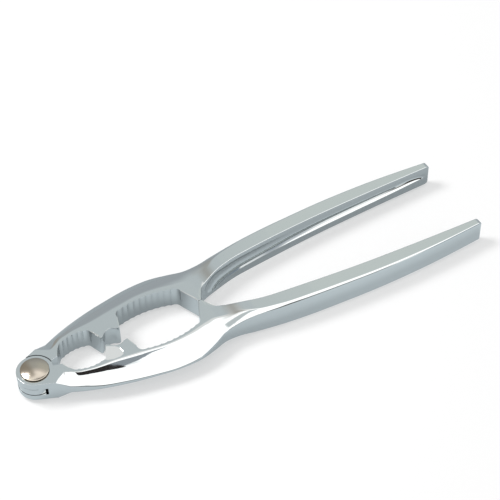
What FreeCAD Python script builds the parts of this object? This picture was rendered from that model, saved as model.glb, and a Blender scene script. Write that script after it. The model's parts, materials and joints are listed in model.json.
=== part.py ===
import FreeCAD, Part
import os
import re
import Sketcher

# Lever nutcracker press, modelled closed, in millimetres.
# Two cast levers are riveted together at one end. The fork lever's two ears straddle the tongue of the other.
# The jaws form a small and a large serrated cavity, the noses touch at the waist, and the handles part as a V.
# Within a sub-part the pivot is the line x = y = 0, the jaws' top face is z = 0, and X runs to the handle tips.
# The tongue lever lies on the +Y side and the fork lever on the -Y side.

Vector = FreeCAD.Vector
doc = FreeCAD.newDocument("lever_nutcracker_press")
sheet = doc.addObject("Spreadsheet::Sheet", "Sizes")

SIZES = {
    # Whole tool
    "overall_length": 200.0,
    "jaw_thickness": 9.4,
    "closing_gap": 0.2,
    # Side view: the handles stand proud of the jaws on both faces, run level, then sink towards the tips
    "handle_rise": 1.45,
    "rise_start": 72.5,
    "rise_length": 15.5,
    "belly_length": 24.0,
    "tip_rise": 0.35,
    "tip_round": 2.2,
    "tip_corner": 1.3,
    "tip_overlap": 0.09,
    # Hinge: the ears and the tongue are round about the pivot and run tangent into the necks
    "ear_radius": 7.2,
    "ear_thickness": 3.0,
    "tongue_inset": 0.1,
    "tongue_clearance": 0.1,
    "slot_clearance": 1.3,
    "shoulder_clearance": 0.35,
    "flank_angle": 112.0,
    "neck_angle": 10.0,
    # Rivet: a low domed head on top and a smaller flattened tail below
    "rivet_radius": 2.5,
    "running_clearance": 0.05,
    "head_radius": 5.6,
    "head_height": 1.7,
    "head_rim": 0.5,
    "tail_radius": 4.4,
    "tail_flat": 3.2,
    # Small cavity: a serrated round floor between the neck corner and the divider tooth
    "neck_corner_x": 10.5,
    "neck_corner_y": 2.25,
    "neck_corner_bulge": 0.28,
    "small_centre": 20.8,
    "small_half_width": 8.85,
    "small_radius": 15.0,
    "small_start": 121.6,
    "small_end": 69.2,
    "small_serrations": 6,
    # Divider: a blunt tooth, a shallow notch and a second tooth that stands further back
    "tooth_at": 29.0,
    "tooth_y": 2.05,
    "tooth_tip": 0.8,
    "notch_start": 31.0,
    "notch_length": 5.0,
    "notch_y": 3.6,
    "notch_bulge": 0.9,
    "back_tooth_at": 37.3,
    "back_tooth_y": 3.35,
    "back_tooth_tip": 0.6,
    # Large cavity: a longer serrated floor and a plain ramp down to the nose
    "large_centre": 51.2,
    "large_half_width": 12.5,
    "large_radius": 40.7,
    "large_start": 106.2,
    "large_end": 68.4,
    "large_serrations": 10,
    "serration_depth": 0.35,
    # Noses, where the two levers meet
    "nose_at": 71.0,
    "nose_flat": 1.0,
    "nose_round": 0.8,
    "nose_front_bulge": 0.1,
    "nose_back_rise": 1.12,
    "nose_back_bulge": 0.16,
    # Inner side of the handle, in three arcs behind the crotch
    "crotch_x": 73.9,
    "crotch_y": 4.0,
    "crotch_length": 3.1,
    "crotch_height": 2.7,
    "crotch_bulge": 0.45,
    "inner_root": 0.197,
    "inner_root_y": 12.7,
    "inner_root_bulge": 0.85,
    "inner_middle": 0.56,
    "inner_middle_y": 16.3,
    "inner_middle_bulge": 0.33,
    "inner_tip_y": 17.85,
    "inner_tip_bulge": 0.2,
    # Blank: the bevel runs past the rim by the lift, so that the top face cuts it at the rim
    "bevel_lift": 0.3,
    "bevel_ease": 1.5,
    "neck_at": 4.4,
    "neck_edge": 0.12,
    "neck_edge_bulge": 0.012,
    "cut_margin": 3.0,
    # Channel in the inner side of the handle
    "channel_overlap": 0.6,
}

# Sections across the lever. Each has its place along it, the half width of the flat rim, the half width of the
# outer edge, the drop from the top face to that edge, the bulge of the bevel between, and the share of the rise.
# The places of the jaw sections are distances from the pivot, those of the handle sections shares of the handle.
SECTION_SIZES = ("at", "rim", "outer", "drop", "bulge", "share")
JAW_SECTIONS = {
    "bevel_start": (9.2, 6.6, 11.8, 2.9, 0.25, 0.0),
    "small_cavity": (18.5, 9.8, 16.2, 3.8, 0.5, 0.0),
    "divider": (29.0, 10.9, 19.4, 3.9, 0.55, 0.0),
    "large_entry": (40.0, 12.6, 21.8, 4.1, 0.55, 0.0),
    "large_middle": (51.0, 14.1, 23.4, 4.2, 0.55, 0.0),
    "large_end": (60.5, 13.2, 23.0, 3.8, 0.55, 0.0),
    "ramp": (67.0, 11.2, 20.9, 2.9, 0.55, 0.0),
    "waist": (73.0, 9.8, 18.5, 1.8, 0.5, 0.01),
}
HANDLE_SECTIONS = {
    "waist_back": (0.046, 12.0, 17.85, 1.4, 0.4, 0.3),
    "grip_start": (0.109, 15.3, 18.35, 1.3, 0.33, 0.95),
    "grip_root": (0.2, 18.2, 19.85, 1.2, 0.3, 1.0),
    "grip_front": (0.31, 19.7, 21.1, 1.05, 0.28, 0.98),
    "grip_fore": (0.43, 20.7, 22.0, 1.0, 0.27, 0.84),
    "grip_middle": (0.555, 21.4, 22.7, 0.9, 0.25, 0.7),
    "grip_rear": (0.68, 21.7, 22.85, 0.9, 0.25, 0.57),
    "grip_back": (0.795, 21.5, 22.5, 0.9, 0.25, 0.44),
    "grip_end": (0.9, 20.75, 21.75, 0.9, 0.24, 0.34),
    "tip": (1.0, 19.9, 20.9, 0.9, 0.22, 0.24),
}
# Channel sections: the span of the inner side that each lies on, its share of that span, half height and depth
CHANNEL_SIZES = ("share", "half_height", "depth")
CHANNEL_SECTIONS = {
    "channel_end": ("crotch_end", "inner_root", (0.0, 1.3, 0.3)),
    "channel_heel": ("crotch_end", "inner_root", (0.16, 3.6, 1.6)),
    "channel_root": ("crotch_end", "inner_root", (0.66, 3.5, 2.0)),
    "channel_front": ("inner_root", "inner_middle", (0.27, 2.6, 1.8)),
    "channel_middle": ("inner_root", "inner_middle", (0.9, 2.4, 1.7)),
    "channel_back": ("inner_middle", "inner_tip", (0.5, 2.1, 1.4)),
    "channel_tip": ("inner_middle", "inner_tip", (0.84, 1.8, 1.0)),
    "channel_stop": ("inner_middle", "inner_tip", (0.95, 1.4, 0.3)),
}


def fill_sheet():
    """Write every driving dimension into the sheet under its own name."""
    for sections in (JAW_SECTIONS, HANDLE_SECTIONS):
        for section, values in sections.items():
            for what, value in zip(SECTION_SIZES, values):
                SIZES[f"{section}_{what}"] = value
    for section, (_, _, values) in CHANNEL_SECTIONS.items():
        for what, value in zip(CHANNEL_SIZES, values):
            SIZES[f"{section}_{what}"] = value
    for row, (alias, value) in enumerate(SIZES.items(), start=1):
        sheet.set(f"A{row}", alias)
        sheet.set(f"B{row}", str(value))
        sheet.setAlias(f"B{row}", alias)
    doc.recompute()


fill_sheet()

# Lengths that follow from the sheet
TIP_AT = "(overall_length - ear_radius)"
HANDLE_LENGTH = f"({TIP_AT} - waist_at)"
HALF_GAP = "(closing_gap / 2)"
BLANK_TOP = "(handle_rise + cut_margin)"
BLANK_BOTTOM = f"(-jaw_thickness - {BLANK_TOP})"
TONGUE_RADIUS = "(ear_radius - tongue_inset)"
NECK_OUTER = "((ear_radius - neck_at * cos(flank_angle)) / sin(flank_angle))"


def bound(text):
    """Put the sheet's name before each size named in an expression."""
    return re.sub(r"[a-z_]+", lambda word: f"Sizes.{word[0]}" if word[0] in SIZES else word[0], str(text))


def value_of(text):
    return float(sheet.evalExpression(bound(text)))


def bulge_of_level_start(run, rise):
    """Bulge of the arc that leaves its first end level and climbs to (run, rise)."""
    chord = f"sqrt(({run}) ^ 2 + ({rise}) ^ 2)"
    return f"({chord} / 2 * ({chord} - ({run})) / ({rise}))"


def new_body(name):
    """One sub-part, placed so that the tool's origin is the middle of its box, on the surface it lies on."""
    body = doc.addObject("PartDesign::Body", name)
    body.Label = name
    body.setExpression("Placement.Base.x", bound("ear_radius - overall_length / 2"))
    body.setExpression("Placement.Base.z", bound("jaw_thickness + handle_rise"))
    return body


def new_sketch(body, name, plane, offset=None):
    sketch = body.newObject("Sketcher::SketchObject", name)
    support = [item for item in body.Origin.OriginFeatures if item.Role == plane][0]
    sketch.AttachmentSupport = [(support, "")]
    sketch.MapMode = "FlatFace"
    if offset is not None:
        sketch.setExpression("AttachmentOffset.Base.z", bound(offset))
    return sketch


def add_constraints(sketch, plain, driven):
    """Add plain constraints, then dimensions that each follow an expression under a name of their own."""
    constraints = [Sketcher.Constraint(*where) for where in plain]
    for name, (expression, *where) in driven.items():
        dimension = Sketcher.Constraint(*where, value_of(expression))
        dimension.Name = name
        constraints.append(dimension)
    sketch.addConstraint(constraints)
    for name, (expression, *_) in driven.items():
        sketch.setExpression(f"Constraints.{name}", bound(expression))


def draw_outline(sketch, corners, side=1, mirrored=1):
    """Draw one closed outline, each corner tied to the sheet.

    A corner is (first, second) where a line leaves it, or (first, second, bulge) where an arc does.
    The bulge is positive to the left of travel. The coordinate numbered by mirrored is turned over
    for the lever on the -Y side.
    """
    places = []
    for corner in corners:
        place = [str(corner[0]), str(corner[1])]
        place[mirrored] = f"{side} * ({place[mirrored]})"
        places.append(place)
    points = [Vector(value_of(first), value_of(second), 0) for first, second in places]
    base = sketch.GeometryCount
    starts = []
    radii = {}
    for number, corner in enumerate(corners):
        following = (number + 1) % len(corners)
        here = points[number]
        there = points[following]
        if len(corner) == 2:
            sketch.addGeometry(Part.LineSegment(here, there), False)
            starts.append(1)
            continue
        across = there - here
        bulge = side * value_of(corner[2])
        middle = (here + there) * 0.5 + Vector(-across.y, across.x, 0).normalize() * bulge
        ends = (there, here) if bulge > 0 else (here, there)
        sketch.addGeometry(Part.Arc(ends[0], middle, ends[1]), False)
        starts.append(2 if bulge > 0 else 1)
        chord = (f"(({places[following][0]}) - ({places[number][0]})) ^ 2"
                 f" + (({places[following][1]}) - ({places[number][1]})) ^ 2")
        radii[number] = f"({chord}) / (8 * abs({corner[2]})) + abs({corner[2]}) / 2"
    joined = []
    driven = {}
    for number, (first, second) in enumerate(places):
        following = (number + 1) % len(corners)
        edge = base + number
        joined.append(("Coincident", edge, 3 - starts[number], base + following, starts[following]))
        driven[f"first_{edge}"] = (first, "DistanceX", -1, 1, edge, starts[number])
        driven[f"second_{edge}"] = (second, "DistanceY", -1, 1, edge, starts[number])
        if number in radii:
            driven[f"radius_{edge}"] = (radii[number], "Radius", edge)
    add_constraints(sketch, joined, driven)
    return sketch


def loft(body, name, kind, sketches, ruled=False):
    feature = body.newObject(f"PartDesign::{kind}Loft", name)
    feature.Profile = sketches[0]
    feature.Sections = sketches[1:]
    feature.Ruled = ruled
    return feature


def cut_through(body, name, sketch):
    """Cut an outline right through the body, both ways from its plane."""
    feature = body.newObject("PartDesign::Pocket", name)
    feature.Profile = sketch
    feature.Type = "ThroughAll"
    feature.SideType = "Symmetric"
    return feature


def pad_down(body, name, sketch, length):
    """Raise a solid from an outline downwards."""
    feature = body.newObject("PartDesign::Pad", name)
    feature.Profile = sketch
    feature.Reversed = True
    feature.setExpression("Length", bound(length))
    return feature


def turn(body, name, kind, sketch):
    """Turn a profile about the pivot, as a Revolution that adds or a Groove that cuts."""
    feature = body.newObject(f"PartDesign::{kind}", name)
    feature.Profile = sketch
    feature.ReferenceAxis = (sketch, ["V_Axis"])
    return feature


def bore(body, name, radius):
    """A hole for the rivet."""
    sketch = new_sketch(body, f"{name}_circle", "XY_Plane")
    sketch.addGeometry(Part.Circle(Vector(0, 0, 0), Vector(0, 0, 1), value_of(radius)), False)
    add_constraints(sketch, [("Coincident", 0, 3, -1, 1)], {"bore_radius": (radius, "Radius", 0)})
    return cut_through(body, name, sketch)


def section_outline(rim, outer, top, drop, bulge):
    """Cross-section of the blank: an outer band, a bulged bevel above and below it, and a flat inner face."""
    lead = f"({outer} - {rim}) / {drop} * bevel_lift * bevel_ease"
    lifted = f"({top} + bevel_lift)"
    return [
        (HALF_GAP, BLANK_TOP),
        (f"{rim} - {lead}", lifted, bulge),
        (outer, f"{top} - {drop}"),
        (outer, f"{drop} - {top} - jaw_thickness", bulge),
        (f"{rim} - {lead}", f"-jaw_thickness - {lifted}"),
        (HALF_GAP, BLANK_BOTTOM),
    ]


def build_blank(body, side):
    """Lever blank: a short neck with a pointed facet, then one smooth form to the tip."""
    neck = new_sketch(body, f"{body.Name}_neck", "YZ_Plane", "neck_at")
    draw_outline(neck, section_outline(f"({NECK_OUTER} - neck_edge)", NECK_OUTER, "0", "neck_edge",
                                       "neck_edge_bulge"), side, 0)
    sketches = []
    for section in list(JAW_SECTIONS) + list(HANDLE_SECTIONS):
        at = f"{section}_at"
        if section in HANDLE_SECTIONS:
            at = f"waist_at + {HANDLE_LENGTH} * {at}"
        sketch = new_sketch(body, f"{body.Name}_{section}", "YZ_Plane", at)
        draw_outline(sketch, section_outline(
            f"{section}_rim", f"{section}_outer", f"(handle_rise * {section}_share)",
            f"{section}_drop", f"{section}_bulge"), side, 0)
        sketches.append(sketch)
    loft(body, f"{body.Name}_neck_blank", "Additive", [neck, sketches[0]], ruled=True)
    loft(body, f"{body.Name}_arm_blank", "Additive", sketches)


def side_outline(face):
    """What is cut away above the side view (face 1), or below it (face -1)."""
    if face == 1:
        level = "0"
    else:
        level = "-jaw_thickness"

    def height(rise):
        return f"{level} + {face} * ({rise})"

    swell = f"{face} * {bulge_of_level_start('rise_length / 2', 'handle_rise / 2')}"
    belly_start = "rise_start + rise_length"
    return [
        ("-ear_radius", height("0")),
        ("rise_start", height("0"), f"-({swell})"),
        ("rise_start + rise_length / 2", height("handle_rise / 2"), swell),
        (belly_start, height("handle_rise")),
        (f"{belly_start} + belly_length", height("handle_rise")),
        (f"{TIP_AT} - tip_round", height("tip_rise"), f"{face} * tip_round * (1 - sqrt(0.5))"),
        (TIP_AT, height("tip_rise - tip_round")),
        (f"{TIP_AT} + cut_margin", height("tip_rise - tip_round")),
        (f"{TIP_AT} + cut_margin", height("2 * cut_margin + handle_rise")),
        ("-ear_radius", height("2 * cut_margin + handle_rise")),
    ]


def shape_side(body):
    """Give the lever its side view: flat jaws, the rise at the waist, the belly and the falling handle."""
    sketch = new_sketch(body, f"{body.Name}_side_view", "XZ_Plane")
    for face in (1, -1):
        draw_outline(sketch, side_outline(face))
    cut_through(body, f"{body.Name}_side_cut", sketch)


def serrated_floor(name):
    """Corners along a cavity's floor, with a small scallop between each two."""
    count = round(value_of(f"{name}_serrations"))
    corners = []
    for number in range(count + 1):
        angle = f"({name}_start + ({name}_end - {name}_start) * {number} / {count})"
        corners.append((
            f"{name}_centre + {name}_radius * cos({angle})",
            f"{name}_half_width - {name}_radius * (1 - sin({angle}))",
            "serration_depth",
        ))
    corners[-1] = corners[-1][:2]
    return corners


def jaw_outline(hub_radius):
    """The space between the neck and the nose, with both cavities and the divider."""
    nose_start = "(nose_at - nose_flat / 2)"
    hub_x = f"{hub_radius} * cos(neck_angle)"
    return [
        (hub_x, "-cut_margin"),
        (hub_x, f"{hub_radius} * sin(neck_angle)"),
        ("neck_corner_x", "neck_corner_y", "neck_corner_bulge"),
        *serrated_floor("small"),
        ("tooth_at - tooth_tip / 2", "tooth_y"),
        ("tooth_at + tooth_tip / 2", "tooth_y"),
        ("notch_start", "notch_y", "notch_bulge"),
        ("notch_start + notch_length", "notch_y"),
        ("back_tooth_at - back_tooth_tip / 2", "back_tooth_y"),
        ("back_tooth_at + back_tooth_tip / 2", "back_tooth_y"),
        *serrated_floor("large"),
        (f"{nose_start} - nose_round / 2", f"{HALF_GAP} + nose_round", "-nose_front_bulge"),
        (nose_start, HALF_GAP),
        (nose_start, "-cut_margin"),
    ]


# The joints between the arcs of the handle's inner side
INNER_POINTS = {
    "crotch_end": ("(crotch_x + crotch_length)", "(crotch_y + crotch_height)"),
    "inner_root": (f"(waist_at + {HANDLE_LENGTH} * inner_root)", "inner_root_y"),
    "inner_middle": (f"(waist_at + {HANDLE_LENGTH} * inner_middle)", "inner_middle_y"),
    "inner_tip": (TIP_AT, "inner_tip_y"),
}


def handle_outline():
    """The space between the handles, from the nose to past the tips."""
    nose_end = "(nose_at + nose_flat / 2)"
    return [
        (nose_end, "-cut_margin"),
        (nose_end, HALF_GAP, "-nose_back_bulge"),
        (f"{nose_end} + nose_round", f"{HALF_GAP} + nose_back_rise"),
        ("crotch_x", "crotch_y", "crotch_bulge"),
        (*INNER_POINTS["crotch_end"], "inner_root_bulge"),
        (*INNER_POINTS["inner_root"], "inner_middle_bulge"),
        (*INNER_POINTS["inner_middle"], "inner_tip_bulge"),
        (f"{TIP_AT} - tip_corner", "inner_tip_y", "-tip_corner * (1 - sqrt(0.5))"),
        (TIP_AT, "inner_tip_y + tip_corner"),
        (f"{TIP_AT} + cut_margin", "inner_tip_y + tip_corner"),
        (f"{TIP_AT} + cut_margin", "-cut_margin"),
    ]


def tip_outline():
    """The corner that is rounded off at the outside of the tip."""
    return [
        (f"{TIP_AT} - tip_corner", "tip_outer + tip_overlap", "tip_corner * (1 - sqrt(0.5))"),
        (TIP_AT, "tip_outer - tip_corner"),
        (f"{TIP_AT} + cut_margin", "tip_outer - tip_corner"),
        (f"{TIP_AT} + cut_margin", "tip_outer + cut_margin"),
        (f"{TIP_AT} - tip_corner", "tip_outer + cut_margin"),
    ]


def shape_plan(body, side, hub_radius):
    """Cut the cavities, the handle's inner side and the tip's corner in plan."""
    sketch = new_sketch(body, f"{body.Name}_plan", "XY_Plane")
    draw_outline(sketch, jaw_outline(hub_radius), side)
    draw_outline(sketch, handle_outline(), side)
    draw_outline(sketch, tip_outline(), side)
    cut_through(body, f"{body.Name}_plan_cut", sketch)


def channel_outline(span_start, span_end, section):
    """Place and lens-shaped outline of the channel on one arc of the handle's inner side."""
    start_x, start_y = INNER_POINTS[span_start]
    end_x, end_y = INNER_POINTS[span_end]
    share = f"{section}_share"
    at = f"{start_x} + ({end_x} - {start_x}) * {share}"
    wall = (f"({start_y} + ({end_y} - {start_y}) * {share}"
            f" + 4 * {span_end}_bulge * {share} * (1 - {share}))")
    middle = "-jaw_thickness / 2"
    opening = f"{wall} - channel_overlap"
    outline = [
        (opening, f"{middle} - {section}_half_height", f"-({section}_depth + channel_overlap)"),
        (opening, f"{middle} + {section}_half_height"),
    ]
    return at, outline


def cut_channel(body, side):
    """Hollow the inner side of the handle with a long round-bottomed channel."""
    sketches = []
    for section, (span_start, span_end, _) in CHANNEL_SECTIONS.items():
        at, outline = channel_outline(span_start, span_end, section)
        sketch = new_sketch(body, f"{body.Name}_{section}", "YZ_Plane", at)
        sketches.append(draw_outline(sketch, outline, side, 0))
    loft(body, f"{body.Name}_channel", "Subtractive", sketches)


def hub_outline(hub_radius):
    """Round end about the pivot, with the straight flank that leads into the neck."""
    def bulge(turned):
        return f"-{hub_radius} * (1 - cos(({turned}) / 2))"

    return [
        (f"{hub_radius} * cos(flank_angle)", f"{hub_radius} * sin(flank_angle)", bulge("180 - flank_angle")),
        (f"-{hub_radius}", "0", bulge("90")),
        ("0", f"-{hub_radius}", bulge("90 + neck_angle")),
        (f"{hub_radius} * cos(neck_angle)", f"{hub_radius} * sin(neck_angle)"),
        ("neck_at", NECK_OUTER),
    ]


def add_hub(body, side, hub_radius):
    sketch = new_sketch(body, f"{body.Name}_hub_plan", "XY_Plane")
    draw_outline(sketch, hub_outline(hub_radius), side)
    pad_down(body, f"{body.Name}_hub", sketch, "jaw_thickness")


def clear_about_pivot(body, name, radius, low, high):
    """Turn away a disc-shaped space about the pivot between two heights."""
    sketch = new_sketch(body, f"{name}_profile", "XZ_Plane")
    draw_outline(sketch, [("0", low), (radius, low), (radius, high), ("0", high)])
    turn(body, name, "Groove", sketch)


def build_fork_lever():
    """Cast lever on the -Y side. Its end is slotted into two ears."""
    side = -1
    body = new_body("fork_lever")
    build_blank(body, side)
    shape_side(body)
    shape_plan(body, side, "ear_radius")
    cut_channel(body, side)
    add_hub(body, side, "ear_radius")
    clear_about_pivot(body, "tongue_slot", "(ear_radius + slot_clearance)",
                      "ear_thickness - jaw_thickness", "-ear_thickness")
    bore(body, "ear_bores", "rivet_radius")
    return body


def build_tongue_lever():
    """Cast lever on the +Y side. Its end is thinned to a tongue that turns between the ears."""
    side = 1
    body = new_body("tongue_lever")
    build_blank(body, side)
    shape_side(body)
    shape_plan(body, side, TONGUE_RADIUS)
    cut_channel(body, side)
    add_hub(body, side, TONGUE_RADIUS)
    shoulder = "(ear_radius + shoulder_clearance)"
    clear_about_pivot(body, "upper_ear_recess", shoulder,
                      "-ear_thickness - tongue_clearance", BLANK_TOP)
    clear_about_pivot(body, "lower_ear_recess", shoulder,
                      BLANK_BOTTOM, "ear_thickness + tongue_clearance - jaw_thickness")
    bore(body, "tongue_bore", "rivet_radius + running_clearance")
    return body


def build_rivet():
    """Steel pivot rivet: domed head on the upper ear, plain shank, tail flattened under the lower ear."""
    body = new_body("pivot_rivet")
    bottom = "-jaw_thickness"
    dome = bulge_of_level_start("head_radius", "head_height - head_rim")
    sketch = new_sketch(body, "rivet_profile", "XZ_Plane")
    draw_outline(sketch, [
        ("0", "head_height", dome),
        ("head_radius", "head_rim"),
        ("head_radius", "0"),
        ("rivet_radius", "0"),
        ("rivet_radius", bottom),
        ("tail_radius", bottom),
        ("tail_radius", f"{bottom} - head_rim"),
        ("tail_flat", f"{bottom} - handle_rise"),
        ("0", f"{bottom} - handle_rise"),
    ])
    turn(body, "rivet_turned", "Revolution", sketch)
    return body


def check_and_write(bodies):
    """Stop on any failed object or bad shape, then write each sub-part to its own file."""
    doc.recompute()
    for item in doc.Objects:
        if "Invalid" in item.State or "Error" in item.State:
            raise RuntimeError(f"{item.Name} failed: {item.State}")
    for body in bodies:
        shape = body.Shape
        if shape.isNull() or not shape.isValid() or len(shape.Solids) != 1:
            raise RuntimeError(f"{body.Label} is not one valid solid")
    os.makedirs("parts", exist_ok=True)
    for body in bodies:
        body.Shape.exportStep(f"parts/{body.Label}.step")
        box = body.Shape.BoundBox
        print(f"{body.Label}: {body.Shape.Volume / 1000:.2f} cm3, {len(body.Shape.Faces)} faces,"
              f" x {box.XMin:.2f} to {box.XMax:.2f}, y {box.YMin:.2f} to {box.YMax:.2f},"
              f" z {box.ZMin:.2f} to {box.ZMax:.2f}")


check_and_write([build_fork_lever(), build_tongue_lever(), build_rivet()])
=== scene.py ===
import json
import math

import bmesh
import bpy
import numpy as np
from mathutils import Matrix, Vector


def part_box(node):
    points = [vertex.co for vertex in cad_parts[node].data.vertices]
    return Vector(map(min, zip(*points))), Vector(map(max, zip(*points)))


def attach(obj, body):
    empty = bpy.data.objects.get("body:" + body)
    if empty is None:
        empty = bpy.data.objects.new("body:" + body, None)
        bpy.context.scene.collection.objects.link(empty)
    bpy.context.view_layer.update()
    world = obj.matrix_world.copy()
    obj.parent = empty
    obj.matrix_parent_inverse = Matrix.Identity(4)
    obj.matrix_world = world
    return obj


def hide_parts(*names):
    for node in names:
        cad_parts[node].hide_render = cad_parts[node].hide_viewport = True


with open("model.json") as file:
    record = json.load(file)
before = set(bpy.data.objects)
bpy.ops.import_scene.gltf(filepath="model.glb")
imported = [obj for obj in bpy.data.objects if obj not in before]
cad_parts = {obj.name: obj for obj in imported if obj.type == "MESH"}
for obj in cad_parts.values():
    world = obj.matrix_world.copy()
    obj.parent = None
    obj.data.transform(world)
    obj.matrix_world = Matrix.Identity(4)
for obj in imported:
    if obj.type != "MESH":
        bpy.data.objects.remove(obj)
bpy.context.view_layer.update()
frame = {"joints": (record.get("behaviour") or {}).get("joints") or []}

scene = bpy.context.scene

# Fork lever: one of the two plated castings, with the pair of ears. Its jaw has a flat rim, a bulged bevel
# and a narrow outer band. Serrated cavities are cut through it, and the handle's inner side is channelled.
# The sections below are set out along X from the pivot in millimetres, with the jaws' top face at height 0.
MM = 0.001
thickness = 9.4
middle = -thickness / 2
pivot = Vector(frame["joints"][0]["pos_m"])
handle_rise = 1.45
pivot_top = Vector((pivot.x, pivot.y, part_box("fork_lever")[1].z - handle_rise * MM))
tip_at = 192.8
tip_rise = 0.35
tip_round = 2.2
tip_corner = 1.3
ear_radius = 7.2
flank = math.radians(112)
neck_angle = math.radians(10)
neck_at = 4.4
neck_outer = (ear_radius - neck_at * math.cos(flank)) / math.sin(flank)
bevel_start = 9.2
edge_round = 0.3
crisp_round = 0.1
ridge_round = 0.5
# distance along the lever: share of the bevel's width over which its inner edge is eased
rim_ease = {11.0: 0.02, 14.0: 0.06, 30.0: 0.09, 45.0: 0.14}

# distance along the lever: flat rim, outer edge, drop of the outer edge, bulge of the bevel,
# share of the rise
sections = {
    neck_at: (neck_outer - 0.3, neck_outer, 0.3, 0.05, 0.0),
    bevel_start: (6.6, 11.8, 2.9, 0.08, 0.0),
    11.2: (7.4, 12.8, 3.1, 0.12, 0.0),
    13.0: (8.1, 13.7, 3.3, 0.52, 0.0),
    18.5: (9.8, 16.2, 3.8, 0.64, 0.0),
    29.0: (10.9, 19.4, 3.9, 0.55, 0.0),
    40.0: (12.6, 21.8, 4.1, 0.55, 0.0),
    51.0: (14.1, 23.4, 4.2, 0.55, 0.0),
    60.5: (13.2, 23.0, 3.8, 0.55, 0.0),
    67.0: (11.2, 20.9, 2.9, 0.55, 0.0),
    73.0: (9.8, 18.5, 1.8, 0.5, 0.01),
    78.5: (12.0, 17.85, 1.4, 0.4, 0.3),
    86.1: (15.3, 18.35, 1.3, 0.33, 0.95),
    97.0: (18.35, 19.85, 1.1, 0.27, 1.0),
    110.1: (20.0, 21.1, 0.85, 0.2, 0.98),
    124.5: (21.15, 22.0, 0.7, 0.15, 0.84),
    139.5: (22.0, 22.7, 0.6, 0.12, 0.7),
    154.5: (22.22, 22.82, 0.55, 0.1, 0.57),
    168.2: (21.95, 22.5, 0.5, 0.1, 0.44),
    180.8: (21.25, 21.75, 0.45, 0.1, 0.34),
    tip_at: (20.4, 20.9, 0.45, 0.1, 0.24),
}
channel_start = 76.9
channel_end = 190.4
plain_half_height = 0.9
# shares of the half height at which the points of the inner wall lie
wall_shares = np.linspace(0, 1, 9)
# distance along the lever: half height, depth, lift and skew of the channel
channel = {
    channel_start: (1.2, 0.0, 0.0, 0.0),
    77.5: (2.0, 0.5, 0.1, 0.0),
    80.1: (3.6, 1.2, 0.3, 0.0),
    89.9: (3.5, 1.3, 0.6, 0.0),
    108.3: (3.2, 1.4, 0.8, 0.1),
    120.0: (3.0, 1.7, 0.6, 0.25),
    135.7: (2.8, 1.9, 0.4, 0.4),
    155.0: (2.4, 1.8, 0.3, 0.4),
    175.0: (1.9, 1.45, 0.4, 0.4),
    187.0: (1.3, 0.8, 0.5, 0.3),
    189.4: (1.0, 0.3, 0.3, 0.1),
    channel_end: (plain_half_height, 0.0, 0.0, 0.0),
}


def smooth_steps(table, places):
    """Values between the table's rows, on a smooth curve that passes through each row."""
    at = np.array(list(table))
    rows = np.array(list(table.values()))
    slopes = np.gradient(rows, at, axis=0)
    right = np.clip(np.searchsorted(at, places), 1, len(at) - 1)
    left = right - 1
    span = (at[right] - at[left])[:, None]
    t = np.clip((places - at[left]) / (at[right] - at[left]), 0, 1)[:, None]
    return ((2 * t**3 - 3 * t**2 + 1) * rows[left] + (t**3 - 2 * t**2 + t) * span * slopes[left]
            + (3 * t**2 - 2 * t**3) * rows[right] + (t**3 - t**2) * span * slopes[right])


def arc(start, end, bulge, steps):
    """Points of an arc, without its end. A positive bulge lies to the left of travel."""
    start = np.array(start, float)
    end = np.array(end, float)
    chord = end - start
    share = np.linspace(0, 1, steps, endpoint=False)
    if bulge == 0:
        return start + share[:, None] * chord
    length = np.hypot(*chord)
    radius = length**2 / (8 * abs(bulge)) + abs(bulge) / 2
    left = np.array((-chord[1], chord[0])) / length
    centre = (start + end) / 2 + left * (bulge - math.copysign(radius, bulge))
    first = math.atan2(*(start - centre)[::-1])
    sweep = -math.copysign(2 * math.asin(min(1, length / 2 / radius)), bulge)
    return centre + radius * np.stack((np.cos(first + sweep * share), np.sin(first + sweep * share)), 1)


# each cavity: its centre along the lever, its half width, the radius and the end angles of its floor
small_cavity = (20.8, 8.85, 15.0, (math.radians(121.6), math.radians(69.2)))
large_cavity = (51.2, 12.5, 40.7, (math.radians(106.2), math.radians(68.4)))


def floor_points(centre, half_width, radius, angles, steps):
    """A cavity's floor as a plain arc, before the serrations are cut."""
    turned = np.linspace(*angles, steps)
    return np.stack((centre + radius * np.cos(turned), half_width - radius * (1 - np.sin(turned))), 1)


def inner_outline():
    """The lever's inner side in plan, from the neck past both cavities and the nose to the tip."""
    return np.concatenate((
        arc((neck_at, 1.1), (7.0, 1.2), 0, 3),
        arc((7.1, 1.25), (10.5, 2.25), 0, 4),
        arc((10.5, 2.25), (12.94, 6.63), 0.28, 10),
        floor_points(*small_cavity, 40),
        arc((26.25, 7.7), (28.55, 2.15), 0, 16),
        arc((28.6, 2.05), (29.4, 2.05), 0, 3),
        arc((29.45, 2.1), (30.95, 3.55), 0, 5),
        arc((31.0, 3.6), (36.0, 3.6), 0.9, 16),
        arc((36.0, 3.6), (37.0, 3.35), 0, 3),
        arc((37.0, 3.35), (37.6, 3.35), 0, 3),
        arc((37.65, 3.5), (39.8, 10.7), 0, 20),
        floor_points(*large_cavity, 60),
        arc((66.3, 9.4), (70.1, 0.9), 0, 24),
        arc((70.1, 0.9), (70.5, 0.1), -0.1, 5),
        arc((70.5, 0.1), (71.5, 0.1), 0, 4),
        arc((71.5, 0.1), (72.3, 1.22), -0.16, 8),
        arc((72.3, 1.22), (73.9, 4.0), 0, 8),
        arc((73.9, 4.0), (77.0, 6.7), 0.45, 16),
        arc((77.0, 6.7), (96.6, 12.7), 0.85, 24),
        arc((96.6, 12.7), (140.1, 16.3), 0.33, 44),
        arc((140.1, 16.3), (tip_at, 17.85), 0.2, 60)[:-2],
        arc((tip_at - tip_corner, 17.85), (tip_at, 17.85 + tip_corner), -0.38, 9),
        np.array(((tip_at, 17.85 + tip_corner),)),
    ))


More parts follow.
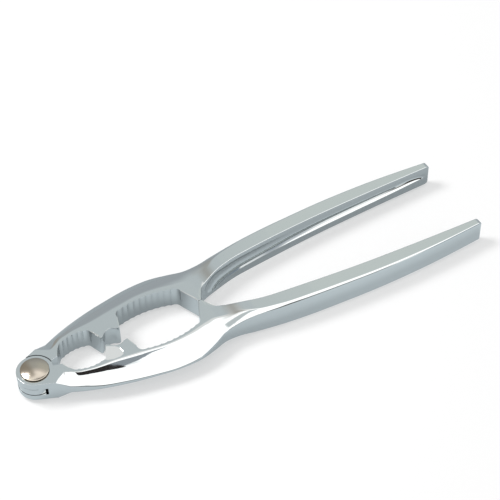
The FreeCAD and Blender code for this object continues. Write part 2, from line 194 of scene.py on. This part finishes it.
def side_height(places):
    """Height of the top face above the jaws: level, a rise at the waist, the belly, the fall to the tip."""
    rise_start = 72.5
    half = 7.75
    fall_start = 112
    bend = (half**2 + (handle_rise / 2)**2) / handle_rise
    ramp = places - rise_start
    foot = bend - np.sqrt(bend**2 - np.clip(ramp, 0, half)**2)
    head = handle_rise - bend + np.sqrt(bend**2 - np.clip(2 * half - ramp, 0, half)**2)
    height = np.where(ramp < half, foot, head)
    fall = np.clip((places - fall_start) / (tip_at - tip_round - fall_start), 0, 1)
    height = height + fall * (tip_rise - handle_rise)
    rounding = np.clip((places - (tip_at - tip_round)) / tip_round, 0, 1)
    return height - tip_round * (1 - np.sqrt(1 - rounding**2))


def rounded(before, corner, after, radius, steps=6):
    """A corner eased by a short curve."""
    to_before = before - corner
    to_after = after - corner
    first = corner + to_before * min(0.45, radius / max(1e-6, np.hypot(*to_before)))
    last = corner + to_after * min(0.45, radius / max(1e-6, np.hypot(*to_after)))
    return [first * (1 - t)**2 + corner * 2 * t * (1 - t) + last * t**2 for t in np.linspace(0, 1, steps)]


def half_ring(inner, top, row, channel_row, inner_round, rim_round):
    """Upper half of one cross-section, from the middle of the inner wall over the top to the outer band."""
    rim, outer, drop, bulge, share = row
    # the bevel's arc starts above the rim's level, and the top face cuts it where the rim ends
    overshoot = 0.3
    lead_share = 1.5
    lead = (outer - rim) / drop * overshoot * lead_share
    level = handle_rise * share
    bevel = np.concatenate((
        arc((rim - lead, level + overshoot), (outer, level - drop), bulge, 60), ((outer, level - drop),)))
    below = np.flatnonzero(bevel[:, 1] < top)
    if len(below) == 0:
        rim_point = np.array((outer, top))
        slope = [np.array((outer, top - 0.01 * k)) for k in range(1, 13)]
    else:
        first = max(1, below[0])
        t = (bevel[first - 1, 1] - top) / (bevel[first - 1, 1] - bevel[first, 1])
        rim_point = bevel[first - 1] + t * (bevel[first] - bevel[first - 1])
        kept = np.concatenate((rim_point[None], bevel[first:]))
        along = np.linspace(0, 1, 14)[1:-1] * (len(kept) - 1)
        counted = range(len(kept))
        slope = [np.array([np.interp(a, counted, kept[:, axis]) for axis in (0, 1)]) for a in along]
    least_bevel = 0.3
    ridge = np.array((outer, min(level - drop, top - least_bevel)))
    half_height, depth = channel_row[:2]
    wall = []
    reach = max(half_height, plain_half_height)
    for step in wall_shares:
        dip = 0.0
        if depth > 0.01:
            radius = half_height**2 / (2 * depth) + depth / 2
            dip = math.sqrt(max(0, radius**2 - (step * reach)**2)) - (radius - depth)
        wall.append(np.array((inner + max(dip, 0), middle + step * reach)))
    corner = np.array((inner, top))
    least_rim = 0.6
    flat_end = np.array((max(rim_point[0], inner + least_rim), top))
    inner_edge = rounded(wall[-1], corner, flat_end, inner_round)
    rim_edge = rounded(corner, flat_end, slope[2], rim_round, 7)
    ring = wall + [wall[-1] * 0.5 + corner * 0.5] + inner_edge
    ring += [inner_edge[-1] * 0.7 + rim_edge[0] * 0.3, inner_edge[-1] * 0.3 + rim_edge[0] * 0.7]
    ring += rim_edge
    ring += slope[2:-2]
    ring += rounded(slope[-2], ridge, np.array((outer, middle)), ridge_round)
    ring += [np.array((outer, middle + 0.5 * (ridge[1] - middle)))]
    return ring


def new_piece(name, vertices, faces):
    """A mesh object from points in millimetres about the pivot, at the tool's place in the frame."""
    mesh = bpy.data.meshes.new(name)
    mesh.from_pydata([pivot_top + Vector(v) * MM for v in vertices], [], faces)
    piece = bpy.data.objects.new(name, mesh)
    scene.collection.objects.link(piece)
    work = bmesh.new()
    work.from_mesh(mesh)
    bmesh.ops.remove_doubles(work, verts=work.verts, dist=1e-7)
    bmesh.ops.recalc_face_normals(work, faces=work.faces)
    work.to_mesh(mesh)
    work.free()
    return piece


def cast_arm(name, side):
    """The lever from the neck to the tip, drawn section by section. side is -1 on the fork lever."""
    outline = inner_outline()
    longest_step = 0.8
    places = []
    for start, end in zip(outline[:-1], outline[1:]):
        steps = max(1, math.ceil((end[0] - start[0]) / longest_step))
        places.extend(np.linspace(start[0], end[0], steps, endpoint=False))
    places.append(tip_at)
    places = np.unique(np.round(places, 4))
    inner = np.interp(places, outline[:, 0], outline[:, 1])
    tops = side_height(places)
    rows = smooth_steps(sections, places)
    neck_row = np.array(sections[neck_at])
    start_row = np.array(sections[bevel_start])
    share = np.clip((places - neck_at) / (bevel_start - neck_at), 0, 1)[:, None]
    rows = np.where(share < 1, neck_row + (start_row - neck_row) * share, rows)
    corner = np.clip((places - (tip_at - tip_corner)) / tip_corner, 0, 1)
    rows[:, 1] -= tip_corner * (1 - np.sqrt(1 - corner**2))
    rows[:, 0] = np.minimum(rows[:, 0], rows[:, 1] - 0.1)
    channel_rows = smooth_steps(channel, places)
    channel_rows[(places < channel_start) | (places > channel_end)] = (plain_half_height, 0, 0, 0)
    vertices = []
    behind_the_neck = (11.0, 14.0)
    past_the_nose = (71.0, 78.0)
    for number, at in enumerate(places):
        row = rows[number]
        inner_round = np.interp(at, past_the_nose, (crisp_round, edge_round))
        least_round = np.interp(at, behind_the_neck, (crisp_round, edge_round))
        ease = np.interp(at, list(rim_ease), list(rim_ease.values()))
        rim_round = max(least_round, ease * (row[1] - row[0]))
        upper = half_ring(inner[number], tops[number], row, channel_rows[number], inner_round, rim_round)
        lower = [np.array((p[0], 2 * middle - p[1])) for p in upper[::-1]]
        outer_middle = [np.array((upper[-1][0], middle))]
        half_height, _, lift, skew = channel_rows[number]
        shifts = [np.array((0, lift + skew * half_height * (1 - step**2))) for step in wall_shares]
        moved = len(shifts)
        upper = [p + shift for p, shift in zip(upper, shifts)] + upper[moved:]
        lower = lower[:-moved] + [p + shift for p, shift in zip(lower[-moved:], shifts[::-1])]
        ring = upper + outer_middle + lower[:-1]
        vertices += [(at, side * p[0], p[1]) for p in ring]
    count = len(ring)
    faces = []
    for column in range(len(places) - 1):
        for k in range(count):
            following = (k + 1) % count
            faces.append((column * count + k, column * count + following,
                          (column + 1) * count + following, (column + 1) * count + k))
    faces.append(tuple(range(count)))
    faces.append(tuple(range((len(places) - 1) * count, len(places) * count)))
    return new_piece(name, vertices, faces)


def plate(name, outline, top, bottom, top_round=0.0, bottom_round=0.0):
    """A flat plate of the given outline, its upper and lower edges eased."""
    outline = np.array(outline)
    ahead = np.roll(outline, -1, 0) - outline
    normals = np.stack((ahead[:, 1], -ahead[:, 0]), 1)
    normals /= np.hypot(*normals.T)[:, None]
    normals = normals + np.roll(normals, 1, 0)
    normals /= np.hypot(*normals.T)[:, None]
    turned = np.linspace(0, math.pi / 2, 6)
    layers = [(0.0, top)]
    if top_round:
        layers = [(top_round * (1 - math.sin(a)), top - top_round * (1 - math.cos(a))) for a in turned]
    if bottom_round:
        layers += [(bottom_round * (1 - math.sin(a)), bottom + bottom_round * (1 - math.cos(a)))
                   for a in turned[::-1]]
    else:
        layers.append((0.0, bottom))
    vertices = []
    for inset, height in layers:
        vertices += [(p[0], p[1], height) for p in outline - normals * inset]
    count = len(outline)
    faces = [tuple(range(count)), tuple(range((len(layers) - 1) * count, len(layers) * count))]
    for layer in range(len(layers) - 1):
        for k in range(count):
            following = (k + 1) % count
            faces.append((layer * count + k, layer * count + following,
                          (layer + 1) * count + following, (layer + 1) * count + k))
    return new_piece(name, vertices, faces)


def disc(radius, steps=128):
    """Points round a circle about the pivot."""
    return [(radius * math.cos(2 * math.pi * k / steps), radius * math.sin(2 * math.pi * k / steps))
            for k in range(steps)]


def hub(name, side, radius, top_round, bottom_round):
    """The round end of a lever, with the flank that runs into its neck."""
    turned = np.linspace(flank, 2 * math.pi + neck_angle, 100)
    outline = [(radius * math.cos(a), radius * math.sin(a)) for a in turned]
    # these lie inside the neck, apart from the last, where its outer side starts
    outline += [(9.0, 3.0), (9.0, 6.0), (6.5, 7.9), (neck_at, neck_outer)]
    if side < 0:
        outline = [(x, -y) for x, y in reversed(outline)]
    return plate(name, outline, 0.0, -thickness, top_round, bottom_round)


def combine(piece, other, operation):
    """Join another mesh to the piece or cut it away, and drop the other."""
    step = piece.modifiers.new(operation, "BOOLEAN")
    step.operation = operation
    step.solver = "MANIFOLD"
    step.object = other
    result = bpy.data.meshes.new_from_object(piece.evaluated_get(bpy.context.evaluated_depsgraph_get()))
    piece.modifiers.clear()
    piece.data = result
    bpy.data.objects.remove(other)


def serration_cutters(side, centre, half_width, radius, angles, count):
    """Round cutters set along a cavity's floor. Each takes one scallop out of it."""
    pitch = radius * abs(angles[0] - angles[1]) / count
    depth = 0.35
    cutter_radius = pitch**2 / (8 * depth) + depth / 2
    path_centre = pivot_top + Vector((centre, side * (half_width - radius), middle)) * MM
    tree = bpy.data.node_groups.new("Serration cutters", "GeometryNodeTree")
    tree.interface.new_socket("Cutters", in_out="OUTPUT", socket_type="NodeSocketGeometry")
    inputs = {
        "Count": ("NodeSocketInt", count),
        "Centre": ("NodeSocketVector", path_centre),
        "Path radius": ("NodeSocketFloat", (radius - cutter_radius + depth) * MM),
        "First angle": ("NodeSocketFloat", side * angles[0]),
        "Last angle": ("NodeSocketFloat", side * angles[1]),
        "Cutter radius": ("NodeSocketFloat", cutter_radius * MM),
        "Cutter length": ("NodeSocketFloat", 2 * thickness * MM),
    }
    identifiers = {}
    for name, (kind, _) in inputs.items():
        identifiers[name] = tree.interface.new_socket(name, in_out="INPUT", socket_type=kind).identifier
    nodes = tree.nodes
    links = tree.links
    given = nodes.new("NodeGroupInput")

    def maths(operation, first, second):
        node = nodes.new("ShaderNodeMath")
        node.operation = operation
        for socket, source in zip(node.inputs, (first, second)):
            if isinstance(source, (int, float)):
                socket.default_value = source
            else:
                links.new(source, socket)
        return node.outputs[0]

    index = nodes.new("GeometryNodeInputIndex").outputs[0]
    share = maths("DIVIDE", maths("ADD", index, 0.5), given.outputs["Count"])
    sweep = maths("SUBTRACT", given.outputs["Last angle"], given.outputs["First angle"])
    angle = maths("ADD", given.outputs["First angle"], maths("MULTIPLY", sweep, share))
    reach = nodes.new("ShaderNodeCombineXYZ")
    links.new(maths("MULTIPLY", given.outputs["Path radius"], maths("COSINE", angle, 0)), reach.inputs[0])
    links.new(maths("MULTIPLY", given.outputs["Path radius"], maths("SINE", angle, 0)), reach.inputs[1])
    place = nodes.new("ShaderNodeVectorMath")
    links.new(given.outputs["Centre"], place.inputs[0])
    links.new(reach.outputs[0], place.inputs[1])
    points = nodes.new("GeometryNodePoints")
    links.new(given.outputs["Count"], points.inputs["Count"])
    links.new(place.outputs[0], points.inputs["Position"])
    cutter = nodes.new("GeometryNodeMeshCylinder")
    cutter.inputs["Vertices"].default_value = 64
    links.new(given.outputs["Cutter radius"], cutter.inputs["Radius"])
    links.new(given.outputs["Cutter length"], cutter.inputs["Depth"])
    copies = nodes.new("GeometryNodeInstanceOnPoints")
    links.new(points.outputs[0], copies.inputs["Points"])
    links.new(cutter.outputs["Mesh"], copies.inputs["Instance"])
    realized = nodes.new("GeometryNodeRealizeInstances")
    links.new(copies.outputs[0], realized.inputs[0])
    finish = nodes.new("GeometryNodeSetMaterial")
    finish.inputs["Material"].default_value = plating
    links.new(realized.outputs[0], finish.inputs["Geometry"])
    result = nodes.new("NodeGroupOutput")
    links.new(finish.outputs[0], result.inputs[0])
    cutters = bpy.data.objects.new("cutters", bpy.data.meshes.new("cutters"))
    scene.collection.objects.link(cutters)
    modifier = cutters.modifiers.new("Serration cutters", "NODES")
    modifier.node_group = tree
    for name, (_, value) in inputs.items():
        modifier[identifiers[name]] = value
    mesh = bpy.data.meshes.new_from_object(cutters.evaluated_get(bpy.context.evaluated_depsgraph_get()))
    cutters.modifiers.clear()
    cutters.data = mesh
    return cutters


def cut_serrations(piece, side):
    """Cut the scallops of both cavities: 6 in the small one and 10 in the large one."""
    for cavity, count in ((small_cavity, 6), (large_cavity, 10)):
        combine(piece, serration_cutters(side, *cavity, count), "DIFFERENCE")


def polish(piece):
    """Smooth the casting's shading, with flats kept flat and true edges kept crisp."""
    crisp_angle = math.radians(25)
    for polygon in piece.data.polygons:
        polygon.use_smooth = True
    piece.data.set_sharp_from_angle(angle=crisp_angle)
    modifier = piece.modifiers.new("Flats", "WEIGHTED_NORMAL")
    modifier.keep_sharp = True
    modifier.weight = 100
    mesh = bpy.data.meshes.new_from_object(piece.evaluated_get(bpy.context.evaluated_depsgraph_get()))
    piece.modifiers.clear()
    piece.data = mesh


# Polishing, shared by the plated castings and the rivet: slow waves left by the buffing wheel,
# and a faint haze.
polishing = bpy.data.node_groups.new("Polishing", "ShaderNodeTree")
for name, kind in (("Wave scale", "NodeSocketFloat"), ("Haze scale", "NodeSocketFloat"),
                   ("Least roughness", "NodeSocketFloat"), ("Most roughness", "NodeSocketFloat")):
    polishing.interface.new_socket(name, in_out="INPUT", socket_type=kind)
polishing.interface.new_socket("Height", in_out="OUTPUT", socket_type="NodeSocketFloat")
polishing.interface.new_socket("Roughness", in_out="OUTPUT", socket_type="NodeSocketFloat")
polish_in = polishing.nodes.new("NodeGroupInput")
polish_out = polishing.nodes.new("NodeGroupOutput")
place_on_piece = polishing.nodes.new("ShaderNodeTexCoord")
waves = polishing.nodes.new("ShaderNodeTexNoise")
waves.inputs["Detail"].default_value = 0.5
haze = polishing.nodes.new("ShaderNodeTexNoise")
haze.inputs["Detail"].default_value = 5.0
spread = polishing.nodes.new("ShaderNodeMapRange")
polishing.links.new(place_on_piece.outputs["Object"], waves.inputs["Vector"])
polishing.links.new(place_on_piece.outputs["Object"], haze.inputs["Vector"])
polishing.links.new(polish_in.outputs["Wave scale"], waves.inputs["Scale"])
polishing.links.new(polish_in.outputs["Haze scale"], haze.inputs["Scale"])
polishing.links.new(haze.outputs["Fac"], spread.inputs["Value"])
polishing.links.new(polish_in.outputs["Least roughness"], spread.inputs["To Min"])
polishing.links.new(polish_in.outputs["Most roughness"], spread.inputs["To Max"])
polishing.links.new(waves.outputs["Fac"], polish_out.inputs["Height"])
polishing.links.new(spread.outputs["Result"], polish_out.inputs["Roughness"])


def polished_metal(name, colour, wave_scale, wave_height, roughness):
    """A bare or plated metal with the polishing effect."""
    material = bpy.data.materials.new(name)
    material.use_nodes = True
    nodes = material.node_tree.nodes
    links = material.node_tree.links
    shader = nodes["Principled BSDF"]
    shader.inputs["Metallic"].default_value = 1.0
    shader.inputs["Base Color"].default_value = (*colour, 1.0)
    effect = nodes.new("ShaderNodeGroup")
    effect.node_tree = polishing
    effect.inputs["Wave scale"].default_value = wave_scale
    effect.inputs["Haze scale"].default_value = 320.0
    effect.inputs["Least roughness"].default_value = roughness[0]
    effect.inputs["Most roughness"].default_value = roughness[1]
    bump = nodes.new("ShaderNodeBump")
    bump.inputs["Distance"].default_value = wave_height
    links.new(effect.outputs["Height"], bump.inputs["Height"])
    links.new(bump.outputs["Normal"], shader.inputs["Normal"])
    links.new(effect.outputs["Roughness"], shader.inputs["Roughness"])
    return material


plating = polished_metal("bright_plating", colour=(0.58, 0.60, 0.60), wave_scale=70.0,
                         wave_height=0.00004, roughness=(0.03, 0.08))

bore_radius = 2.5
above, below = 1.0, -12.0
fork_lever = cast_arm("fork_lever_casting", -1)
combine(fork_lever, hub("ears", -1, ear_radius, top_round=0.08, bottom_round=0.7), "UNION")
combine(fork_lever, plate("slot", disc(ear_radius + 1.3), top=-3.0, bottom=-6.4), "DIFFERENCE")
combine(fork_lever, plate("bore", disc(bore_radius, 64), above, below), "DIFFERENCE")
# A very shallow dished spot on the divider. It slopes down towards the outer side.
spot_depth = 0.02
spot_slope = 0.062
spot_outline = [(28.6, -2.9), (29.4, -3.2), (31.6, -4.4), (33.1, -6.1), (33.5, -8.0),
                (32.9, -9.6), (31.4, -10.2), (28.5, -10.1), (26.3, -9.3), (25.5, -8.6)]
dished_spot = plate("dished_spot", spot_outline[::-1], above, -spot_depth)
for vertex in dished_spot.data.vertices:
    if vertex.co.z < pivot_top.z:
        along = (vertex.co - pivot_top) / MM
        vertex.co.z -= spot_slope * (spot_outline[0][1] - along.y) * MM
combine(fork_lever, dished_spot, "DIFFERENCE")
cut_serrations(fork_lever, -1)
polish(fork_lever)
fork_lever.data.materials.clear()
fork_lever.data.materials.append(plating)
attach(fork_lever, "fork")
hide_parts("fork_lever")

# Tongue lever: the other casting. Its end is thinned above and below to a tongue that turns between the ears,
# and the shoulders round the ears keep a thin dark gap. The rest is cut by the same tools as the fork lever.
recess_radius = ear_radius + 0.35
tongue_top, tongue_bottom = -3.25, -6.15
tongue_lever = cast_arm("tongue_lever_casting", 1)
combine(tongue_lever, hub("tongue", 1, ear_radius - 0.1, top_round=0.2, bottom_round=0.2), "UNION")
combine(tongue_lever, plate("upper_recess", disc(recess_radius), 3.0, tongue_top), "DIFFERENCE")
combine(tongue_lever, plate("lower_recess", disc(recess_radius), tongue_bottom, -13.0), "DIFFERENCE")
combine(tongue_lever, plate("bore", disc(bore_radius + 0.05, 64), above, below), "DIFFERENCE")
cut_serrations(tongue_lever, 1)
polish(tongue_lever)
tongue_lever.data.materials.clear()
tongue_lever.data.materials.append(plating)
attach(tongue_lever, "tongue")
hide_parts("tongue_lever")

# Pivot rivet: turned steel, pressed through the ears and formed over below. Its head is a low polished dome
# in a warmer nickel tone than the levers.
head_radius = 5.6
dome_edge = 5.35
dome_foot = 0.75
dome_height = 0.95
dome_rings = 24
rivet_profile = []
for ring in range(dome_rings + 1):
    reach = dome_edge * ring / dome_rings
    rivet_profile.append((reach, dome_foot + dome_height * (1 - (reach / head_radius)**2)))
rivet_profile += [
    (5.5, 0.76), (head_radius, 0.66), (head_radius, 0.56), (5.45, 0.44), (5.1, 0.36), (5.1, 0.0),
    (bore_radius, 0.0), (bore_radius, -thickness), (4.4, -thickness), (4.4, -9.9), (3.2, -10.85),
    (0.0, -10.85)]
turns = 96
rivet_vertices = []
for k in range(turns):
    angle = 2 * math.pi * k / turns
    rivet_vertices += [(r * math.cos(angle), r * math.sin(angle), height) for r, height in rivet_profile]
row_length = len(rivet_profile)
rivet_faces = []
for k in range(turns):
    following = (k + 1) % turns
    for row in range(row_length - 1):
        rivet_faces.append((k * row_length + row, k * row_length + row + 1,
                            following * row_length + row + 1, following * row_length + row))
rivet = new_piece("pivot_rivet_turned", rivet_vertices, rivet_faces)
polish(rivet)
rivet.data.materials.append(polished_metal("warm_nickel", colour=(0.43, 0.385, 0.325), wave_scale=200.0,
                                           wave_height=0.00002, roughness=(0.15, 0.20)))
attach(rivet, "fork")
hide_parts("pivot_rivet")

# Table: a plain white top that the closed tool lies on, with pale shadows. The camera sees it white. The
# metal mirrors it in duller, bluish tones that change along and across the tool. These are painted shade and
# painted
# reflection tones: darker between the handles and in the jaws, and darker still behind the tool. The table
# partly glows in these tones.
table_mesh = bpy.data.meshes.new("table_top")
table_mesh.from_pydata([(-4, -4, 0), (4, -4, 0), (4, 4, 0), (-4, 4, 0)], [], [(0, 1, 2, 3)])
table_top = bpy.data.objects.new("table_top", table_mesh)
scene.collection.objects.link(table_top)
table_finish = bpy.data.materials.new("white_table_with_painted_shade")
table_finish.use_nodes = True
table_nodes = table_finish.node_tree.nodes
table_shader = table_nodes["Principled BSDF"]
table_shader.inputs["Roughness"].default_value = 1.0
table_shader.inputs["Specular IOR Level"].default_value = 0.0
table_glow = table_nodes.new("ShaderNodeEmission")
seen_directly = table_nodes.new("ShaderNodeLightPath")
table_mix = table_nodes.new("ShaderNodeMixShader")
glow_share = 0.45
table_mix.inputs[0].default_value = glow_share
table_links = table_finish.node_tree.links
table_place = table_nodes.new("ShaderNodeTexCoord")
table_axes = table_nodes.new("ShaderNodeSeparateXYZ")
table_links.new(table_place.outputs["Object"], table_axes.inputs[0])


def painted_brightness(axis, start, end, before, after):
    """Painted brightness of the table as the metal mirrors it, easing from one value to the next along an
    axis.
    """
    node = table_nodes.new("ShaderNodeMapRange")
    node.interpolation_type = "SMOOTHSTEP"
    node.inputs["From Min"].default_value = start
    node.inputs["From Max"].default_value = end
    table_links.new(table_axes.outputs[axis], node.inputs["Value"])
    for socket, source in ((node.inputs["To Min"], before), (node.inputs["To Max"], after)):
        if isinstance(source, float):
            socket.default_value = source
        else:
            table_links.new(source, socket)
    return node.outputs["Result"]


# Painted shade, as the metal sees the table: darker between the handles and in the jaws than in front of the
# tool.
painted_shade_between_handles = painted_brightness("Y", -0.012, -0.004, 0.92, 0.62)
painted_shade_in_the_jaws = painted_brightness("Y", 0.001, 0.013, 0.80, 0.58)
painted_shade_along_the_tool = painted_brightness("X", -0.018, 0.045, painted_shade_in_the_jaws, painted_shade_between_handles)
table_tone = table_nodes.new("ShaderNodeMix")
table_tone.data_type = "RGBA"
table_tone.inputs[7].default_value = (1.0, 1.0, 1.0, 1.0)
table_links.new(seen_directly.outputs["Is Camera Ray"], table_tone.inputs["Factor"])
# Painted reflection tones: a bluish tint, and darker still behind the tool. The camera sees plain white
# instead.
painted_reflection_tone = table_nodes.new("ShaderNodeMix")
painted_reflection_tone.data_type = "RGBA"
painted_reflection_tone.blend_type = "MULTIPLY"
painted_reflection_tone.inputs["Factor"].default_value = 1.0
painted_reflection_tone.inputs[6].default_value = (0.90, 0.99, 1.04, 1.0)
table_links.new(painted_brightness("Y", 0.025, 0.055, painted_shade_along_the_tool, 0.53), painted_reflection_tone.inputs[7])
table_links.new(painted_reflection_tone.outputs[2], table_tone.inputs[6])
table_links.new(table_tone.outputs[2], table_glow.inputs["Color"])
table_links.new(table_tone.outputs[2], table_shader.inputs["Base Color"])
table_links.new(table_shader.outputs[0], table_mix.inputs[1])
table_links.new(table_glow.outputs[0], table_mix.inputs[2])
table_links.new(table_mix.outputs[0], table_nodes["Material Output"].inputs["Surface"])
table_top.data.materials.append(table_finish)

# Studio: pale walls, white panels overhead with a pale grey patch straight above the tool, and a dim
# room low behind the viewpoint. The metal mirrors these, and everything else gets plain even light.
studio = bpy.data.worlds.new("studio")
scene.world = studio
studio.use_nodes = True
studio_nodes = studio.node_tree.nodes
studio_links = studio.node_tree.links
direction = studio_nodes.new("ShaderNodeTexCoord")
axes = studio_nodes.new("ShaderNodeSeparateXYZ")
studio_links.new(direction.outputs["Generated"], axes.inputs[0])


def between(axis, start, end):
    """0 before the first value on an axis of the view round the tool, 1 past the second, smooth between."""
    node = studio_nodes.new("ShaderNodeMapRange")
    node.interpolation_type = "SMOOTHSTEP"
    node.inputs["From Min"].default_value = start
    node.inputs["From Max"].default_value = end
    studio_links.new(axes.outputs[axis], node.inputs["Value"])
    return node.outputs["Result"]


def both(first, second):
    """Where two masks overlap."""
    node = studio_nodes.new("ShaderNodeMath")
    node.operation = "MULTIPLY"
    studio_links.new(first, node.inputs[0])
    studio_links.new(second, node.inputs[1])
    return node.outputs[0]


def blend(mask, below, above):
    """Change from one colour to another by a mask. Each is a colour or a socket."""
    node = studio_nodes.new("ShaderNodeMix")
    node.data_type = "RGBA"
    studio_links.new(mask, node.inputs["Factor"])
    for socket, source in ((node.inputs[6], below), (node.inputs[7], above)):
        if isinstance(source, tuple):
            socket.default_value = (*source, 1.0)
        else:
            studio_links.new(source, socket)
    return node.outputs[2]


panel_white = (1.9, 1.9, 1.9)
walls = blend(between("Z", 0.25, 0.58), (0.51, 0.55, 0.58), (0.73, 0.79, 0.81))
walls = blend(both(between("X", 0.26, 0.40), between("Z", 0.5, 0.65)), walls, (0.84, 0.90, 0.88))
low_behind_viewpoint = both(between("Y", -0.35, -0.55), between("Z", 0.48, 0.40))
room = blend(between("X", 0.39, 0.42), (0.10, 0.085, 0.075), (1.4, 1.42, 1.42))
room = blend(between("X", 0.44, 0.50), room, (0.30, 0.36, 0.42))
walls = blend(low_behind_viewpoint, walls, room)
overhead = blend(between("Z", 0.80, 0.82), walls, (1.15, 1.15, 1.14))
overhead = blend(between("Z", 0.87, 0.90), overhead, panel_white)
panel_end = both(between("Y", 0.16, 0.32), between("X", 0.20, -0.05))
overhead = blend(panel_end, overhead, (0.48, 0.46, 0.42))
near_panel = both(between("Y", 0.22, 0.10), between("Z", 0.42, 0.50))
overhead = blend(near_panel, overhead, panel_white)
straight_up = both(both(between("X", -0.24, -0.16), between("X", 0.15, 0.11)),
                   both(between("Y", -0.13, -0.08), between("Y", 0.12, 0.08)))
surroundings = blend(both(straight_up, between("Z", 0.9, 0.93)), overhead, (0.80, 0.85, 0.86))
mirrored_light = studio_nodes["Background"]
studio_links.new(surroundings, mirrored_light.inputs["Color"])
plain_light = studio_nodes.new("ShaderNodeBackground")
plain_light.inputs["Strength"].default_value = 0.62
white_backdrop = studio_nodes.new("ShaderNodeBackground")
ray = studio_nodes.new("ShaderNodeLightPath")
diffuse_mix = studio_nodes.new("ShaderNodeMixShader")
studio_links.new(ray.outputs["Is Diffuse Ray"], diffuse_mix.inputs[0])
studio_links.new(mirrored_light.outputs[0], diffuse_mix.inputs[1])
studio_links.new(plain_light.outputs[0], diffuse_mix.inputs[2])
backdrop_mix = studio_nodes.new("ShaderNodeMixShader")
studio_links.new(ray.outputs["Is Camera Ray"], backdrop_mix.inputs[0])
studio_links.new(diffuse_mix.outputs[0], backdrop_mix.inputs[1])
studio_links.new(white_backdrop.outputs[0], backdrop_mix.inputs[2])
studio_links.new(backdrop_mix.outputs[0], studio_nodes["World Output"].inputs["Surface"])

# Two small cards hang over the near jaw, a dark one and a grey one behind it. Only the metal mirrors them,
# as the streak along its bright bevel.
card_height = 60.0
card_join = 38.2
far_edge = -1.5
for card_name, (left, right), (near_left, near_right), card_colour in (
        ("dark_card", (-2.0, card_join), (-19.5, -24.0), (0.012, 0.006, 0.004)),
        ("grey_card", (card_join, 64.0), (-21.0, -2.5), (0.40, 0.44, 0.48))):
    corners = [(left, near_left), (right, near_right), (right, far_edge), (left, far_edge)]
    card = new_piece(card_name, [(x, y, card_height) for x, y in corners], [(3, 2, 1, 0)])
    card_finish = bpy.data.materials.new(card_name)
    card_finish.use_nodes = True
    card_shader = card_finish.node_tree.nodes["Principled BSDF"]
    card_shader.inputs["Base Color"].default_value = (0.0, 0.0, 0.0, 1.0)
    card_shader.inputs["Emission Color"].default_value = (*card_colour, 1.0)
    card_shader.inputs["Emission Strength"].default_value = 1.0
    card.data.materials.append(card_finish)
    card.visible_camera = False
    card.visible_diffuse = False
    card.visible_shadow = False

# Lamp: a broad square one behind the tool and to its left, which casts the soft shadow towards the near
# right. It hangs over the tool and is turned to it.
lamp_data = bpy.data.lights.new("soft_lamp", "AREA")
lamp_data.energy = 9.0
lamp_data.size = 0.42
lamp = bpy.data.objects.new("soft_lamp", lamp_data)
scene.collection.objects.link(lamp)
lamp.location = (-0.53, 0.48, 0.96)
lamp.rotation_mode = "QUATERNION"
lamp.rotation_quaternion = Vector(lamp.location).to_track_quat("Z", "Y")

# Viewpoint: from the fork lever's side and above, with the hinge at the left and the tips at the upper right.
camera_data = bpy.data.cameras.new("viewpoint")
camera_data.lens = 112.31
camera_data.sensor_width = 36.0
camera_data.clip_start = 0.05
camera_data.clip_end = 20.0
camera = bpy.data.objects.new("viewpoint", camera_data)
scene.collection.objects.link(camera)
scene.camera = camera
view_right = Vector((0.86988, -0.49316, -0.00978))
view_up = Vector((0.36472, 0.62973, 0.68587))
view_back = Vector((-0.33209, -0.60019, 0.72766))
view_axes = Matrix((view_right, view_up, view_back)).transposed()
view_from = pivot_top + Vector((-0.10903, -0.36739, 0.46196))
camera.matrix_world = Matrix.Translation(view_from) @ view_axes.to_4x4()
scene.view_settings.view_transform = "Standard"
